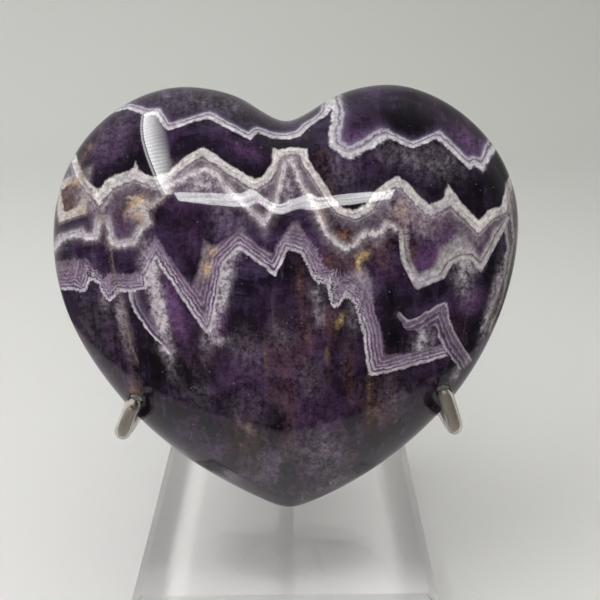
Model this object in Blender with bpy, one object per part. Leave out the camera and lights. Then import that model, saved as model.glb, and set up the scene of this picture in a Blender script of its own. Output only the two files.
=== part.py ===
"""Polished banded amethyst heart held by padded wire arms on a clear acrylic block.

Metres, +Z up, the heart faces -Y. The origin is the centre of the block's underside.
"""
import math

import bmesh
import bpy
import numpy as np
from mathutils import Vector

# The heart in its own plane: u runs right, w runs up, the offset runs out of the face
HEART_CENTRE = Vector((0.0014, -0.0050, 0.0784))
HEART_LEAN = math.radians(20)
HEART_THICKNESS = 0.038
HEART_DIVISIONS = 22
DOME_POWER = 2.4
DOME_MIDDLE = (0.050, 0.046)
# Knots of the outline, clockwise from the cleft: u, w, heading in degrees, handle in, handle out
OUTLINE = (
    (-0.0002, 0.0435, 0, 0.0020, 0.0020),
    (0.0085, 0.0479, 38, 0.0023, 0.0042),
    (0.0251, 0.0526, 0, 0.0066, 0.0116),
    (0.0570, 0.0186, -90, 0.0212, 0.0140),
    (0.0410, -0.0243, -129, 0.0154, 0.0128),
    (0.0057, -0.0505, -158, 0.0156, 0.0023),
    (-0.0003, -0.0523, -180, 0.0014, 0.0014),
    (-0.0062, -0.0502, -205, 0.0023, 0.0156),
    (-0.0415, -0.0242, -231, 0.0143, 0.0174),
    (-0.0577, 0.0150, -270, 0.0139, 0.0262),
    (-0.0253, 0.0525, -359, 0.0119, 0.0036),
    (-0.0094, 0.0487, -395, 0.0048, 0.0020),
)
OUTLINE_STEPS = 40

BASE_SIDE = 0.0762
BASE_HEIGHT = 0.0127
BASE_CHAMFER = 0.0025
BASE_CORNER_CUT = 0.0008

POST_Y = 0.015
POST_RADIUS = 0.0024
POST_BOTTOM = 0.0050
POST_HEAD_RADIUS = 0.0034
POST_HEAD_BOTTOM = 0.0400
POST_TOP = 0.0515
POST_EDGE = 0.0005
POST_SIDES = 32

GAP = 0.0003
WIRE_RADIUS = 0.00135
SLEEVE_RADIUS = 0.0020
WIRE_SIDES = 12
BORE_BOTTOM = 0.0012
ARC_STEP = math.radians(18)

# Lower arms, right and left: u, w and offset of the front corner and of the sleeve's open end
ARM_LEVEL = 0.0445
ARM_DIP = 0.0420
ARM_BEND = 0.022
HOOK_BEND = 0.0036
HOOKS = {
    "right": ((0.0396, -0.0304, 0.0120), (0.0362, -0.0201, 0.0131)),
    "left": ((-0.0396, -0.0310, 0.0120), (-0.0354, -0.0217, 0.0131)),
}
# How far inside its sleeve each wire stops, and how far the sleeve runs back under the heart
WIRE_RECESS = {"right": 0.0006, "left": 0.0024}
SLEEVE_RUN = 0.020

# Upper arms, behind the heart
BACK_LEVEL = 0.0487
BACK_HEADING = math.radians(50)
BACK_BEND = 0.006
BACK_REACH = 0.012
BACK_TIP = (0.024, 0.022)
BACK_FOOT = (0.019, 0.000)
BACK_CLEARANCE = 0.0006
BACK_SLEEVE_RUN = 0.013

MATERIALS = {
    # name: colour, roughness, metallic, alpha
    "amethyst": ((0.075, 0.035, 0.105), 0.05, 0.0, 1.0),
    "acrylic": ((0.80, 0.82, 0.82), 0.03, 0.0, 0.35),
    "steel": ((0.45, 0.45, 0.46), 0.28, 1.0, 1.0),
    "vinyl": ((0.75, 0.77, 0.76), 0.15, 0.0, 0.45),
}

HEART_UP = Vector((0, math.sin(HEART_LEAN), math.cos(HEART_LEAN)))
HEART_FRONT = Vector((0, -math.cos(HEART_LEAN), math.sin(HEART_LEAN)))


def heart_place(u, w, offset):
    """Point in the frame from the heart's own coordinates."""
    return HEART_CENTRE + Vector((u, 0, 0)) + HEART_UP * w + HEART_FRONT * offset


def outline_table():
    """Angle and radius of points all round the outline, in rising order of angle."""
    rows = []
    for k, (u, w, heading, _, leave) in enumerate(OUTLINE):
        u2, w2, heading2, arrive, _ = OUTLINE[(k + 1) % len(OUTLINE)]
        a, b = math.radians(heading), math.radians(heading2)
        p0, p3 = Vector((u, w)), Vector((u2, w2))
        p1 = p0 + Vector((math.cos(a), math.sin(a))) * leave
        p2 = p3 - Vector((math.cos(b), math.sin(b))) * arrive
        for step in range(OUTLINE_STEPS):
            t = step / OUTLINE_STEPS
            p = p0 * (1 - t) ** 3 + p1 * 3 * t * (1 - t) ** 2 + p2 * 3 * t * t * (1 - t) + p3 * t ** 3
            rows.append((math.atan2(p.y, p.x), p.length))
    rows.sort()
    return np.array(rows)


OUTLINE_POLAR = outline_table()


def heart_radius(angle, t):
    """Distance from the centre to contour t (1 is the rim), an ellipse in the middle of the dome."""
    rim = float(np.interp(angle, OUTLINE_POLAR[:, 0], OUTLINE_POLAR[:, 1], period=2 * math.pi))
    a, b = DOME_MIDDLE
    oval = a * b / math.hypot(b * math.cos(angle), a * math.sin(angle))
    share = t ** 1.5
    return t * (oval + (rim - oval) * share)


def dome_height(t):
    return HEART_THICKNESS / 2 * math.sqrt(max(0.0, 1 - t ** DOME_POWER))


def heart_half_thickness(u, w):
    """Height of the dome over the heart's middle plane at u, w."""
    angle, reach = math.atan2(w, u), math.hypot(u, w)
    low, high = 0.0, 1.0
    for _ in range(40):
        middle = (low + high) / 2
        if heart_radius(angle, middle) < reach:
            low = middle
        else:
            high = middle
    return dome_height(low)


def make_material(name):
    colour, roughness, metallic, alpha = MATERIALS[name]
    material = bpy.data.materials.new(name)
    material.use_nodes = True
    shader = material.node_tree.nodes["Principled BSDF"]
    shader.inputs["Base Color"].default_value = (*colour, 1)
    shader.inputs["Roughness"].default_value = roughness
    shader.inputs["Metallic"].default_value = metallic
    shader.inputs["Alpha"].default_value = alpha
    return material


def make_object(name, bm, material, sharp=40):
    bmesh.ops.recalc_face_normals(bm, faces=bm.faces)
    mesh = bpy.data.meshes.new(name)
    bm.to_mesh(mesh)
    bm.free()
    mesh.materials.append(material)
    mesh.shade_smooth()
    mesh.set_sharp_from_angle(angle=math.radians(sharp))
    obj = bpy.data.objects.new(name, mesh)
    bpy.context.scene.collection.objects.link(obj)
    return obj


def make_heart(material):
    """A cube's grid blown up to the heart, so that no pole of the mesh lies on its face."""
    bm = bmesh.new()
    bmesh.ops.create_cube(bm, size=2)
    bmesh.ops.subdivide_edges(bm, edges=bm.edges, cuts=HEART_DIVISIONS - 1, use_grid_fill=True)
    for vert in bm.verts:
        even = Vector([math.tan(c * math.pi / 4) for c in vert.co]).normalized()
        t = math.hypot(even.x, even.z)
        angle = math.atan2(even.z, even.x)
        reach = heart_radius(angle, t)
        offset = math.copysign(dome_height(t), -even.y) if abs(even.y) > 1e-6 else 0.0
        vert.co = heart_place(reach * math.cos(angle), reach * math.sin(angle), offset)
    return make_object("amethyst_heart", bm, material, sharp=80)


def ring_body(rings):
    """Closed body through rings of equal length, with a flat face at each end."""
    bm = bmesh.new()
    loops = [[bm.verts.new(p) for p in ring] for ring in rings]
    count = len(loops[0])
    for lower, upper in zip(loops, loops[1:]):
        for k in range(count):
            bm.faces.new((lower[k], lower[(k + 1) % count], upper[(k + 1) % count], upper[k]))
    bm.faces.new(loops[0][::-1])
    bm.faces.new(loops[-1])
    return bm


def square_ring(side, cut, z):
    h, c = side / 2, side / 2 - cut
    corners = ((c, -h), (h, -c), (h, c), (c, h), (-c, h), (-h, c), (-h, -c), (-c, -h))
    return [Vector((x, y, z)) for x, y in corners]


def round_ring(radius, z, centre_y, sides):
    steps = [2 * math.pi * k / sides for k in range(sides)]
    return [Vector((radius * math.cos(a), centre_y + radius * math.sin(a), z)) for a in steps]


def make_cutter(name, bm):
    bmesh.ops.recalc_face_normals(bm, faces=bm.faces)
    mesh = bpy.data.meshes.new(name)
    bm.to_mesh(mesh)
    bm.free()
    cutter = bpy.data.objects.new(name, mesh)
    bpy.context.scene.collection.objects.link(cutter)
    cutter.hide_render = True
    cutter.display_type = "WIRE"
    return cutter


def cut(obj, cutter):
    modifier = obj.modifiers.new(cutter.name, "BOOLEAN")
    modifier.operation = "DIFFERENCE"
    modifier.solver = "EXACT"
    modifier.object = cutter


def make_base(material):
    """The block, chamfered round its top, with a blind hole for the post."""
    top_side = BASE_SIDE - 2 * BASE_CHAMFER
    bm = ring_body([
        square_ring(BASE_SIDE, BASE_CORNER_CUT, 0),
        square_ring(BASE_SIDE, BASE_CORNER_CUT, BASE_HEIGHT - BASE_CHAMFER),
        square_ring(top_side, BASE_CORNER_CUT, BASE_HEIGHT),
    ])
    base = make_object("acrylic_base", bm, material, sharp=20)
    hole_radius = POST_RADIUS + GAP
    hole = ring_body([
        round_ring(hole_radius, POST_BOTTOM - GAP, POST_Y, POST_SIDES),
        round_ring(hole_radius, BASE_HEIGHT + POST_RADIUS, POST_Y, POST_SIDES),
    ])
    cut(base, make_cutter("post_hole", hole))
    return base


def make_post(material, bores):
    """A turned rod with a slightly wider head, bored for the four wires."""
    profile = (
        (POST_RADIUS - POST_EDGE, POST_BOTTOM),
        (POST_RADIUS, POST_BOTTOM + POST_EDGE),
        (POST_RADIUS, POST_HEAD_BOTTOM),
        (POST_HEAD_RADIUS - POST_EDGE, POST_HEAD_BOTTOM),
        (POST_HEAD_RADIUS, POST_HEAD_BOTTOM + POST_EDGE),
        (POST_HEAD_RADIUS, POST_TOP - POST_EDGE),
        (POST_HEAD_RADIUS - POST_EDGE, POST_TOP),
    )
    bm = ring_body([round_ring(radius, z, POST_Y, POST_SIDES) for radius, z in profile])
    post = make_object("post", bm, material, sharp=30)
    for name, (start, heading) in bores.items():
        path = [start - heading * GAP, start + heading * 2 * POST_HEAD_RADIUS]
        rings = swept_rings(path, [WIRE_RADIUS + GAP] * 2)
        cut(post, make_cutter("bore_" + name, ring_body(rings)))
    return post


def rounded_path(corners, bends):
    """Points along straight runs, with each inner corner rounded to the bend radius given for it."""
    points = [corners[0]]
    for k in range(1, len(corners) - 1):
        corner, bend = corners[k], bends[k - 1]
        before = (corner - corners[k - 1]).normalized()
        after = (corners[k + 1] - corner).normalized()
        turn = before.angle(after)
        if not bend or turn < 1e-4:
            points.append(corner)
            continue
        reach = bend * math.tan(turn / 2)
        centre = corner + (after - before).normalized() * bend / math.cos(turn / 2)
        start = corner - before * reach - centre
        steps = max(2, math.ceil(turn / ARC_STEP))
        side = before * bend
        for step in range(steps + 1):
            a = turn * step / steps
            points.append(centre + start * math.cos(a) + side * math.sin(a))
    points.append(corners[-1])
    return points


def path_headings(path):
    headings = []
    for k in range(len(path)):
        before = (path[k] - path[k - 1]).normalized() if k else Vector()
        after = (path[k + 1] - path[k]).normalized() if k < len(path) - 1 else Vector()
        headings.append((before + after).normalized())
    return headings


def swept_rings(path, radii):
    """Rings of WIRE_SIDES points square to the path, carried along it without twisting."""
    headings = path_headings(path)
    side = headings[0].orthogonal().normalized()
    rings = []
    for k, (point, heading, radius) in enumerate(zip(path, headings, radii)):
        if k:
            side = headings[k - 1].rotation_difference(heading) @ side
            side = (side - heading * side.dot(heading)).normalized()
        other = heading.cross(side)
        angles = [2 * math.pi * n / WIRE_SIDES for n in range(WIRE_SIDES)]
        rings.append([point + (side * math.cos(a) + other * math.sin(a)) * radius for a in angles])
    return rings


def trimmed(path, length):
    """The path without its last stretch of this length."""
    path = list(path)
    while (path[-1] - path[-2]).length <= length:
        length -= (path[-1] - path[-2]).length
        path.pop()
    path[-1] = path[-1] + (path[-2] - path[-1]).normalized() * length
    return path


def make_arm(name, path, recess, material):
    """A wire along the path, its end rounded and drawn back from the sleeve's open end."""
    path = trimmed(path, recess + WIRE_RADIUS)
    end, heading = path[-1], (path[-1] - path[-2]).normalized()
    radii = [WIRE_RADIUS] * len(path)
    for degrees in (35, 65):
        a = math.radians(degrees)
        path.append(end + heading * WIRE_RADIUS * math.sin(a))
        radii.append(WIRE_RADIUS * math.cos(a))
    return make_object(name, ring_body(swept_rings(path, radii)), material)


def make_sleeve(name, path, start, material):
    """An open tube over the path from the point numbered start to its end."""
    inner = swept_rings(path, [WIRE_RADIUS + GAP] * len(path))[start:]
    outer = swept_rings(path, [SLEEVE_RADIUS] * len(path))[start:]
    bm = bmesh.new()
    loops = [[bm.verts.new(p) for p in ring] for ring in outer + inner[::-1]]
    for k, near in enumerate(loops):
        far = loops[(k + 1) % len(loops)]
        for n in range(WIRE_SIDES):
            m = (n + 1) % WIRE_SIDES
            bm.faces.new((near[n], near[m], far[m], far[n]))
    return make_object(name, bm, material)


def lower_path(side, sign):
    """From the post's bore outwards, round to the front under the heart and up over its rim."""
    corner, tip = (heart_place(*p) for p in HOOKS[side])
    start = Vector((sign * BORE_BOTTOM, POST_Y, ARM_LEVEL))
    turn = Vector((corner.x, POST_Y, ARM_DIP))
    sleeve = corner + (turn - corner).normalized() * SLEEVE_RUN
    path = rounded_path([start, turn, sleeve, corner, tip], [ARM_BEND, 0, HOOK_BEND])
    return path, path.index(sleeve)


def back_path(sign):
    """From the post's head outwards and up behind the heart, to rest against its back."""
    heading = Vector((sign * math.sin(BACK_HEADING), math.cos(BACK_HEADING), 0))
    centre = Vector((0, POST_Y, BACK_LEVEL))
    stand_off = SLEEVE_RADIUS + BACK_CLEARANCE
    foot_u, foot_w = BACK_FOOT
    tip_u, tip_w = BACK_TIP
    tip = heart_place(sign * tip_u, tip_w, -heart_half_thickness(sign * tip_u, tip_w) - stand_off)
    foot = heart_place(
        sign * foot_u, foot_w, -heart_half_thickness(sign * foot_u, foot_w) - stand_off - 2 * GAP)
    out = centre + heading * BACK_REACH
    sleeve = tip + (foot - tip).normalized() * BACK_SLEEVE_RUN
    path = rounded_path(
        [centre + heading * BORE_BOTTOM, out, foot, sleeve, tip], [BACK_BEND, BACK_BEND, 0])
    return path, path.index(sleeve)


def build():
    for obj in list(bpy.data.objects):
        bpy.data.objects.remove(obj, do_unlink=True)
    materials = {name: make_material(name) for name in MATERIALS}
    make_heart(materials["amethyst"])
    make_base(materials["acrylic"])
    bores = {}
    for side, sign in (("left", -1), ("right", 1)):
        path, start = lower_path(side, sign)
        bores[side + "_arm"] = (path[0], (path[1] - path[0]).normalized())
        make_arm(side + "_arm", path, WIRE_RECESS[side], materials["steel"])
        make_sleeve(side + "_sleeve", path, start, materials["vinyl"])
        path, start = back_path(sign)
        bores[side + "_back_arm"] = (path[0], (path[1] - path[0]).normalized())
        make_arm(side + "_back_arm", path, WIRE_RECESS[side], materials["steel"])
        make_sleeve(side + "_back_sleeve", path, start, materials["vinyl"])
    make_post(materials["steel"], bores)


build()
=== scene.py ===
"""A polished chevron amethyst heart in a padded wire stand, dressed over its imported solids."""
import math

import bmesh
import bpy
import numpy as np
from bpy.props import FloatProperty, FloatVectorProperty, PointerProperty
from mathutils import Matrix, Vector


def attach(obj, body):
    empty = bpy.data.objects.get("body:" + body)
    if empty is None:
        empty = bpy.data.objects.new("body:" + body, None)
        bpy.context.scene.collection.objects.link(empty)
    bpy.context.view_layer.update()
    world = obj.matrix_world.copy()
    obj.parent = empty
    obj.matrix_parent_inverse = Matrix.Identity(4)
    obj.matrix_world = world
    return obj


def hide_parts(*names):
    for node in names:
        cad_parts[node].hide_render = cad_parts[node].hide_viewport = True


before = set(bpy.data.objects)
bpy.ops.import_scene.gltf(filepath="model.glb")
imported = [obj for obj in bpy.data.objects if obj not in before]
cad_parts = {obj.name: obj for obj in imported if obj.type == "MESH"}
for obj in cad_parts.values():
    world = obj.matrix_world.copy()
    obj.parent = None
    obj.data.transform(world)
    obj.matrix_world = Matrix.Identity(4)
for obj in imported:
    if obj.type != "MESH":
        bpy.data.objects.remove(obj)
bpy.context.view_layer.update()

bl_info = {
    "name": "Banded amethyst heart",
    "version": (1, 0, 0),
    "blender": (4, 5, 0),
    "location": "View3D > Sidebar > Amethyst",
    "description": "Dresses a polished amethyst heart, its wire stand and its clear block",
    "category": "Object",
}

MM = 0.001
# The heart's own plane in the frame: u right, w up the leaning stone, depth out of its face
HEART_CENTRE = Vector((0.0014, -0.0050, 0.0784))
HEART_LEAN = math.radians(20)
HEART_UP = Vector((0, math.sin(HEART_LEAN), math.cos(HEART_LEAN)))
HEART_FRONT = Vector((0, -math.cos(HEART_LEAN), math.sin(HEART_LEAN)))
# Behind its middle plane the fronts lean, in mm right and up for each mm of depth, and wave
BACK_LEAN = (0.32, -0.48)
BACK_WAVE = 1.4
BACK_WAVE_FULL = 4.0
# Corners stay sharp this far from a front, and past its ends it fades over this length, in mm
CORNER_REACH = 12.0
END_FADE = 0.8
# Below the first height and in full below the second, in mm, the body is a mass of grown-together crystals
LOW_ZONE = (6.0, -16.0)

BLOCK_HALF = 0.0381
# The block's chamfers lie where the way out and the way up add to this
CHAMFER_SUM = 0.0483
POLISH = 0.015
CHAMFER_HAZE = 0.3
UNDERSIDE_HAZE = 0.6
QUARTZ_IOR = 1.55
ACRYLIC_IOR = 1.49
VINYL_IOR = 1.52
# Points of a solid that are closer than this are one
WELD = 1e-6
SENSOR_WIDTH = 36.0
# A tenth of a millimetre of air lies between the block and the sheet, which curves up behind the stand
SHEET_DROP = -0.0001
SHEET_SIDE = 6.0
CURVE_START = 0.45
CURVE_RADIUS = 0.35
# Painted glow on the paper under the block stands in for the lamps' light gathered into soft streaks from
# front to back; the dip at the middle is a painted shadow of the post: X and brightness
PAINTED_GLOW_STREAKS = (
    (-BLOCK_HALF, 0.22), (-0.0355, 0.05), (-0.0318, 0.02), (-0.0295, 0.34), (-0.0268, 0.42), (-0.0245, 0.24),
    (-0.016, 0.2), (-0.009, 0.18), (-0.003, 0.14), (-0.0015, 0.05), (0.0015, 0.05), (0.003, 0.14),
    (0.014, 0.19), (0.021, 0.24), (0.0275, 0.29), (0.0315, 0.03), (0.035, 0.03), (BLOCK_HALF, 0.16),
)
DIFFUSER_HEIGHT = 0.69
DIFFUSER_STEPS = 97
# The long bar in front: X, and the Y of its near and far edges
FRONT_BAR = (
    (-0.40, -0.58, -0.64), (-0.27, -0.59, -0.675), (-0.17, -0.583, -0.675), (-0.10, -0.555, -0.655),
    (-0.05, -0.50, -0.605), (-0.03, -0.495, -0.605), (0.0, -0.53, -0.645), (0.03, -0.565, -0.665),
    (0.07, -0.585, -0.675), (0.12, -0.59, -0.675), (0.2, -0.598, -0.68), (0.3, -0.595, -0.66),
    (0.36, -0.57, -0.64),
)
# The two strips on the left: Y, and the X of their left and right edges
LEFT_EDGE = (
    (0.067, -0.382, -0.370), (-0.176, -0.418, -0.406), (-0.403, -0.445, -0.433), (-0.59, -0.465, -0.455),
)
LEFT_PANEL = (
    (0.067, -0.366, -0.27), (-0.176, -0.402, -0.285), (-0.403, -0.428, -0.33), (-0.59, -0.450, -0.40),
)

# Growth fronts of the crystal, as zigzag lines on the face, in mm from the heart's centre.
# They run left to right, so that a positive distance is above a line.
FRONTS = {
    "upper_front": (
        (-49.0, 40.2), (-45.6, 43.2), (-42.8, 45.6), (-37.9, 46.4), (-33.1, 44.3), (-30.3, 44.4),
        (-27.6, 40.1), (-18.0, 43.1), (-8.3, 37.7), (-6.5, 39.5), (-3.1, 38.3), (0.7, 38.1),
        (3.2, 38.8), (5.1, 40.8), (8.1, 42.8), (9.6, 44.0), (10.6, 47.4), (11.0, 44.2),
        (10.0, 39.3), (10.0, 35.8), (14.9, 32.8), (23.8, 37.9), (29.3, 35.4), (35.3, 38.0),
        (43.1, 30.6), (44.2, 31.8), (46.4, 30.5), (51.1, 37.2), (52.5, 39.0),
    ),
    "main_front": (
        (-50.9, 36.2), (-49.5, 33.5), (-47.9, 30.4), (-43.8, 26.5), (-41.6, 29.5), (-37.7, 30.5),
        (-35.1, 31.5), (-34.7, 33.3), (-33.8, 30.9), (-30.1, 29.2), (-27.0, 30.3), (-22.8, 34.1),
        (-18.8, 36.2), (-12.5, 31.8), (-6.9, 28.3), (-4.9, 29.3), (-3.2, 32.2), (-2.9, 35.9),
        (-1.6, 35.4), (1.0, 36.1), (5.1, 35.5), (5.1, 33.2), (7.3, 29.5), (10.4, 24.5),
        (12.6, 21.8), (15.3, 21.1), (18.2, 22.8), (20.5, 25.7), (22.7, 27.4), (25.4, 29.0),
        (27.7, 27.6), (30.1, 24.7), (32.9, 22.4), (36.1, 23.8), (37.2, 27.4), (40.7, 22.8),
        (44.7, 18.8), (47.2, 21.1), (50.7, 22.3), (52.7, 27.6), (54.5, 31.0),
    ),
    "inner_front": (
        (-26.9, 27.1), (-22.3, 29.4), (-18.6, 31.1), (-15.4, 29.6), (-13.4, 26.6), (-4.9, 18.4),
        (-2.3, 23.0), (-0.1, 32.6), (1.5, 33.0), (3.7, 26.6), (6.0, 23.6), (7.2, 20.4),
        (9.3, 16.0), (11.3, 13.9), (13.5, 12.4), (15.2, 13.5), (17.8, 15.9), (21.0, 15.8),
        (22.5, 18.1), (25.0, 17.0),
    ),
    "inner_line": (
        (-36.5, 29.0), (-34.7, 29.6), (-30.7, 26.8), (-26.9, 27.1), (-22.3, 29.4), (-21.9, 31.7),
        (-22.5, 33.3),
    ),
    "second_line": ((-36.5, 24.8), (-34.2, 24.7), (-30.8, 22.9), (-28.2, 24.6), (-26.0, 26.2)),
    "side_front": (
        (-57.0, 12.6), (-55.0, 13.5), (-54.1, 15.0), (-48.5, 16.2), (-47.6, 15.1), (-43.8, 15.2),
        (-43.0, 19.0), (-41.9, 19.0), (-40.8, 13.3), (-34.5, 13.6), (-33.1, 16.6), (-30.8, 18.8),
        (-32.0, 22.3), (-30.7, 22.1), (-28.6, 24.3), (-26.9, 25.2),
    ),
    "lilac_top": (
        (-58.0, 9.0), (-55.2, 10.1), (-50.5, 10.7), (-46.7, 10.3), (-44.7, 8.1), (-42.7, 6.2),
        (-40.5, 7.3), (-38.5, 7.0), (-33.2, 7.6), (-32.0, 12.6), (-29.6, 15.6), (-26.1, 10.0),
        (-21.4, 4.1), (-18.7, 11.0), (-19.0, 15.5), (-16.2, 13.1), (-11.0, 16.2), (-8.7, 15.4),
        (-3.2, 11.3), (-0.1, 16.5), (2.2, 19.0), (3.5, 17.5), (5.0, 14.5), (7.2, 10.8), (9.4, 7.8),
        (13.1, 7.0), (15.7, 7.8), (18.0, 8.1), (19.5, 1.0), (21.4, -7.4), (22.4, -12.2),
        (30.8, -11.0), (35.2, -10.2), (38.0, -10.0),
    ),
    "lilac_low": (
        (-57.5, 3.0), (-50.9, 3.6), (-49.3, 2.8), (-46.9, 3.3), (-46.1, 6.2), (-44.0, 4.7),
        (-41.6, 0.6), (-38.6, 3.2), (-35.3, 3.2), (-31.7, 4.0), (-32.1, 6.2), (-29.6, 10.4),
        (-25.8, 4.7), (-17.5, -7.4), (-14.0, 9.5), (-10.6, 12.8), (-2.5, 6.6), (0.3, 12.5),
        (3.2, 11.8), (5.1, 7.9), (6.9, 4.7), (9.3, 5.2), (9.7, 1.1), (10.8, -1.1), (13.4, 1.8),
        (15.3, 0.3), (17.2, -6.5), (18.6, -16.4), (21.1, -16.3), (36.8, -12.8),
    ),
    "left_vee": ((-36.2, 3.6), (-36.0, 1.4), (-35.0, -1.6), (-32.2, -5.6), (-27.2, -11.1)),
    "right_vee_low": (
        (25.6, 17.0), (26.1, 9.8), (29.5, 3.2), (36.1, 5.7), (37.8, 8.6), (40.6, 10.0),
        (43.0, 9.6), (45.3, 7.0), (49.7, 14.0), (53.0, 19.2),
    ),
    "right_vee_top": (
        (27.2, 17.0), (27.8, 9.8), (30.0, 6.3), (33.6, 8.3), (35.1, 12.3), (40.4, 16.1),
        (42.2, 14.4), (45.0, 10.3), (49.2, 17.0), (52.4, 20.2),
    ),
    "hook_top": (
        (25.3, -1.9), (27.5, -4.1), (29.9, -3.4), (34.2, -0.7), (36.8, 0.0), (37.2, -2.4),
        (38.1, -5.2), (40.0, -9.0), (44.4, -14.9),
    ),
    "hook_low": (
        (25.0, -3.0), (27.1, -6.0), (29.9, -6.3), (32.6, -5.4), (34.3, -5.0), (35.4, -9.4), (41.2, -16.6),
    ),
    "rim_line_a": ((52.7, 27.6), (53.7, 22.1), (54.7, 14.4), (53.6, 8.7), (51.9, -0.2), (48.5, -8.0)),
    "rim_line_b": ((51.9, 18.6), (53.0, 12.5), (52.0, 6.8), (49.8, 0.0), (46.5, -7.0)),
    "rust_line": (
        (-49.3, 34.0), (-47.9, 29.8), (-43.8, 23.5), (-42.3, 19.4), (-40.4, 12.1), (-39.1, 4.8),
        (-37.9, -0.7), (-36.6, -7.2), (-34.9, -13.5),
    ),
    "window_edge": ((-54.4, 27.6), (-48.0, 29.7), (-48.8, 22.9), (-53.2, 21.7), (-54.4, 27.6)),
}

# How thick a band is, against its layers' own measure, at places from left to right in mm
THICKNESS = {
    "upper_front": ("both", (
        (-50, 0.8), (8, 0.8), (11, 1.4), (22, 1.45), (25, 0.8), (34, 0.75), (37, 1), (44, 1), (47, 1.4),
        (53, 1.4))),
    "main_front": ("below", (
        (-48, 0.9), (-40, 1.3), (-33, 0.95), (-24, 0.9), (-10, 0.98), (0, 0.85), (6, 0.7), (12, 0.75),
        (18, 0.95), (23, 0.85), (31, 0.95), (35, 1.1), (40, 1.1), (50, 0.9))),
}

# Patches inside the stone, except two mist patches of painted sheen at the top of the left lobe: u, w, reach
# across, reach up, turn in degrees, strength
DARK_PATCHES = (
    (-21.8, 10.5, 1.8, 5.0, 12, 1.3), (-23, 18, 3, 2.4, 0, 0.5), (-7, 21, 6, 2.0, -20, 0.6),
    (27.6, 41.5, 7, 4.5, 10, 1.4), (45.5, 25.0, 4.5, 5, 0, 1.0), (38, 31, 6, 3, -20, 0.5),
    (52, 30, 2.4, 6, 0, 1.0), (-6, 31.0, 4.5, 1.6, -30, 1.2), (-36, 33.2, 5.5, 1.3, 12, 1.4),
    (-29.5, 31.6, 3, 1.2, -25, 1.2), (33.6, 25.4, 2.2, 1.6, 10, 1.3), (14.6, 22.6, 2.8, 0.9, 0, 1.0),
    (24.6, -8.2, 2.2, 3.2, 0, 1.3), (24.0, 3.0, 2.6, 6, 0, 0.9), (33, 2.2, 6, 1.6, 12, 0.9),
    (45, -4, 3.6, 6, -15, 0.9), (-48, 0, 2.5, 3, 8, 0.5), (-32, -13, 3.4, 7, 10, 1.2),
    (-23, -15, 6, 4, 0, 0.8), (1, 8.5, 2.6, 3.6, 0, 1.1), (-10.6, -5, 3, 5, -8, 1.0),
    (-35.6, 6.2, 2.0, 1.6, 0, 0.9), (-52, 17.6, 4, 1.2, 8, 1.0), (-40.5, 10.2, 2.6, 1.6, 0, 0.7),
    (14, -10, 2.4, 8, 0, 0.6), (28, -20, 5, 4, 0, 0.6), (48.4, 8.0, 1.5, 4.6, -28, 1.0),
    (-18, -27, 5, 5, 0, 0.4), (10, -31, 4, 5, 0, 0.5), (-44.6, -7, 2.0, 4, 10, 0.7), (38, -15, 4, 3, 0, 0.5),
    (-29, 20.6, 1.6, 2.4, 25, 0.9), (19.6, 30, 5, 2.2, 10, 0.4), (-8.6, -33, 3.0, 4.0, 0, 0.5),
    (-28, -26, 3.6, 3.6, 0, 0.5), (47.6, 35.4, 1.6, 2.4, 0, 0.6), (-39.5, 31.8, 3.5, 1.5, 18, 1.3),
    (9.6, -22, 2.4, 3.2, 10, 0.7), (-2, -29, 2.0, 2.6, 0, 0.6), (17, -28, 2.6, 3.0, 0, 0.5),
)
VIOLET_PATCHES = (
    (-38.5, 17.0, 4.0, 2.4, 0, 0.5), (33.4, 10.0, 2.2, 2.6, -35, 1.3), (38.6, 14.5, 2.5, 1.5, 40, 0.6),
    (16.2, 37.4, 3.4, 1.5, 28, 1.3), (12.8, 39.0, 1.5, 2.4, 0, 0.6), (43.2, 36.6, 4.5, 2.6, -48, 0.9),
    (-9.5, 34.6, 5, 1.6, -30, 0.6), (-41.6, 33.0, 3, 4, 40, 0.35), (-25.4, -1.6, 1.5, 5.6, 17, 1.5),
    (-15.6, -3.6, 1.3, 4.6, -14, 1.2), (43, 0, 2.4, 2.6, 0, 1.0), (-5, -14, 6, 5, 0, 0.35),
    (7, -29, 5, 9, 0, 0.3), (46.6, 13.2, 1.5, 3.4, -32, 0.5), (22.6, 8, 2, 3, 0, 0.4),
    (6.0, 12.6, 1.1, 3.6, 20, 0.7), (-40, 40, 4, 3, 0, 0.25), (-13.5, 17, 2, 4, 0, 0.45),
    (-31.8, -3.0, 0.8, 3.6, 30, 0.5), (29, 21, 5, 3.6, -35, 0.75), (-24, 23, 3, 2, 20, 0.4),
    (35, 17, 3, 3, -40, 0.5), (-22, 14, 3, 4, 15, 0.3),
)
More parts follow.
